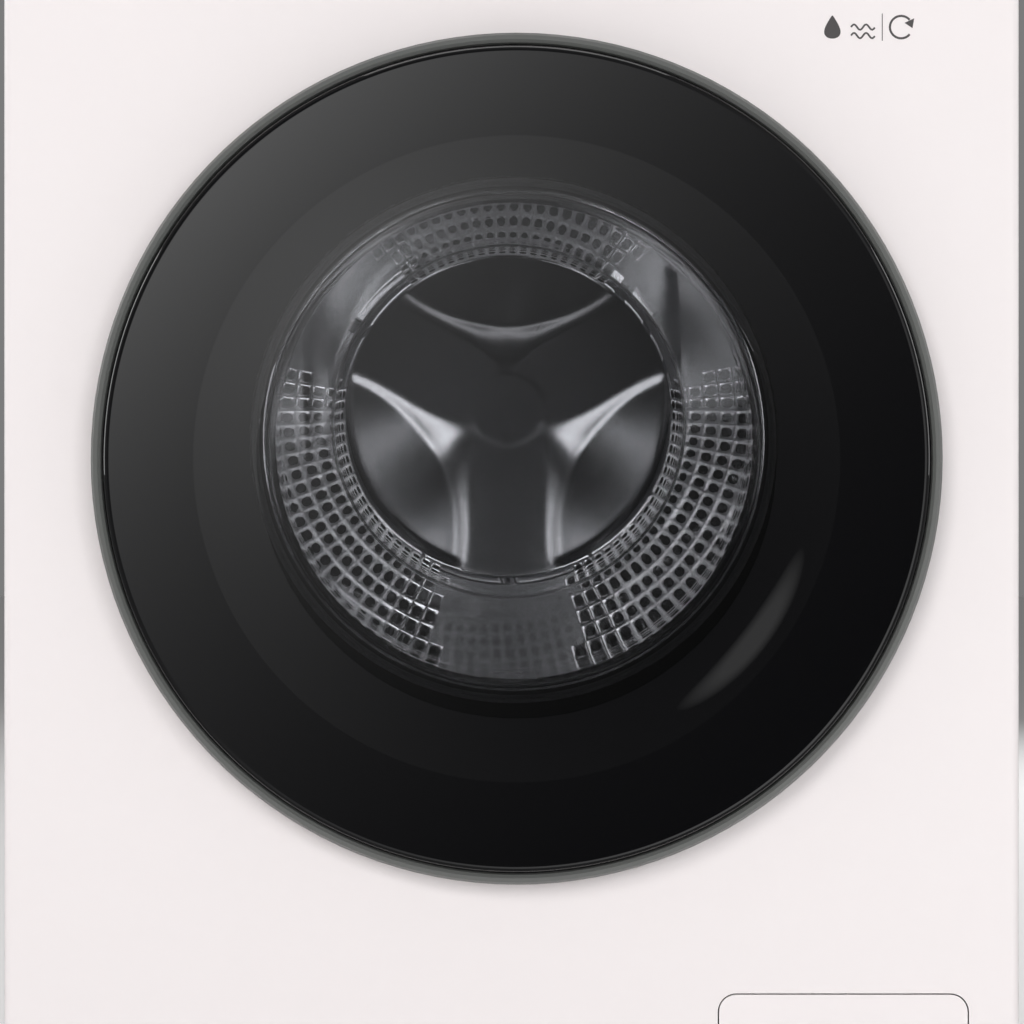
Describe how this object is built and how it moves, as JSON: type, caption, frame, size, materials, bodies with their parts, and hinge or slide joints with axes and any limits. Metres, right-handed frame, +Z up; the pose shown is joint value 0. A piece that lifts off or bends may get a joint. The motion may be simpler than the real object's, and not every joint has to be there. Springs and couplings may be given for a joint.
{
  "type": "front load washing machine",
  "caption": "Free-standing front load washing machine with a large round tinted glass door, drawer, dial and filter flap.",
  "frame": {"origin": "on the floor, under the centre of the overall box", "axes": "+X to the right seen from the front, -Y towards the user, +Z up"},
  "size_m": [0.6, 0.62, 0.85],
  "materials": {
    "white_paint": "satin",
    "white_plastic": "satin",
    "tinted_glass": "gloss",
    "clear_glass": "gloss",
    "black_plastic": "matte",
    "trim_grey": "satin",
    "display_glass": "gloss",
    "button_grey": "satin",
    "grey_plastic": "matte",
    "blue_plastic": "satin",
    "board_green": "matte",
    "zinc_sheet": "satin",
    "stainless": "brushed",
    "bearing_steel": "polished",
    "spring_steel": "satin",
    "cast_aluminium": "cast",
    "cast_iron": "rough",
    "winding_copper": "satin",
    "seal_rubber": "matte",
    "black_rubber": "matte"
  },
  "bodies": {
    "cabinet": {"cabinet_shell": "white_paint", "rear_cover": "zinc_sheet", "base_pan": "zinc_sheet", "top_cover": "white_plastic", "front_panel": "white_paint", "control_fascia": "white_plastic", "top_braces": "zinc_sheet", "display_window": "display_glass", "control_board": "board_green", "dispenser_housing": "grey_plastic", "inlet_valve": "grey_plastic", "fill_hose": "black_rubber", "main_board_case": "black_plastic", "pressure_sensor": "grey_plastic", "drain_pump": "grey_plastic", "drain_hose": "seal_rubber", "damper_cylinders": "black_plastic", "door_gasket": "seal_rubber", "hinge_bracket": "zinc_sheet", "door_lock": "black_plastic", "cord_gland": "black_plastic", "transit_plugs": "grey_plastic", "rear_screws": "bearing_steel", "dispenser_bellows": "black_rubber", "sump_hose": "black_rubber", "suspension_springs": "spring_steel", "feet": "black_rubber", "foot_locknuts": "zinc_sheet"},
    "tub": {"tub_rear_shell": "grey_plastic", "tub_front_shell": "grey_plastic", "tub_screws": "bearing_steel", "upper_counterweight": "cast_iron", "lower_counterweight": "cast_iron", "heater": "stainless", "stator": "winding_copper", "bearings": "bearing_steel", "shaft_seal": "black_rubber", "damper_rods": "bearing_steel"},
    "drum": {"drum_shell": "stainless", "drum_back": "stainless", "drum_lifters": "grey_plastic", "drum_spider": "cast_aluminium", "drum_shaft": "bearing_steel", "rotor": "zinc_sheet"},
    "door": {"door_cover": "tinted_glass", "door_trim_ring": "trim_grey", "door_frame": "black_plastic", "door_bowl": "clear_glass", "door_inner_ring": "grey_plastic", "hinge_pin": "bearing_steel"},
    "latch": {"latch_hook": "zinc_sheet"},
    "drawer": {"drawer_front": "white_plastic", "drawer_tray": "grey_plastic"},
    "siphon": {"siphon_cap": "blue_plastic"},
    "dial_knob": {"dial": "white_plastic"},
    "power_key": {"power_button": "button_grey"},
    "start_key": {"start_button": "button_grey"},
    "flap": {"filter_flap": "white_plastic"},
    "filter": {"filter_cap": "black_plastic"},
    "impeller": {"pump_impeller": "black_plastic"}
  },
  "joints": [
    {"name": "door_hinge", "type": "hinge", "parent": "cabinet", "child": "door", "pos_m": [-0.224, -0.285, 0.468], "axis": [0, 0, -1], "range_deg": [0, 110]},
    {"name": "latch_pivot", "type": "hinge", "parent": "door", "child": "latch", "pos_m": [0.2, -0.28, 0.478], "axis": [0, 0, 1], "range_deg": [0, 6], "stiffness_Nm_per_rad": 0.4, "springref_deg": -5.73},
    {"name": "tub_bounce", "type": "slide", "parent": "cabinet", "child": "tub", "axis": [0, 0, 1], "range_m": [-0.008, 0.008], "stiffness_N_per_m": 24000, "springref_m": 0.01544, "deforming": ["suspension_springs", "dispenser_bellows", "sump_hose", "door_gasket"]},
    {"name": "drum_spin", "type": "hinge", "parent": "tub", "child": "drum", "pos_m": [-0.003, 0, 0.5], "axis": [0, 1, 0], "continuous": true},
    {"name": "drawer_slide", "type": "slide", "parent": "cabinet", "child": "drawer", "axis": [0, -1, 0], "range_m": [0, 0.2]},
    {"name": "siphon_lift", "type": "slide", "parent": "drawer", "child": "siphon", "axis": [0, 0, 1], "range_m": [0, 0.009]},
    {"name": "dial_turn", "type": "hinge", "parent": "cabinet", "child": "dial_knob", "pos_m": [0, -0.27, 0.785], "axis": [0, -1, 0], "continuous": true},
    {"name": "power_press", "type": "slide", "parent": "cabinet", "child": "power_key", "axis": [0, 1, 0], "range_m": [0, 0.0015], "stiffness_N_per_m": 700},
    {"name": "start_press", "type": "slide", "parent": "cabinet", "child": "start_key", "axis": [0, 1, 0], "range_m": [0, 0.0015], "stiffness_N_per_m": 700},
    {"name": "flap_hinge", "type": "hinge", "parent": "cabinet", "child": "flap", "pos_m": [0.1955, -0.2535, 0.0506], "axis": [1, 0, 0], "range_deg": [0, 90]},
    {"name": "filter_turn", "type": "hinge", "parent": "cabinet", "child": "filter", "pos_m": [0.195, -0.21, 0.095], "axis": [0, -1, 0], "range_deg": [0, 90]},
    {"name": "impeller_spin", "type": "hinge", "parent": "cabinet", "child": "impeller", "pos_m": [0.195, -0.16, 0.095], "axis": [0, 1, 0], "continuous": true}
  ]
}
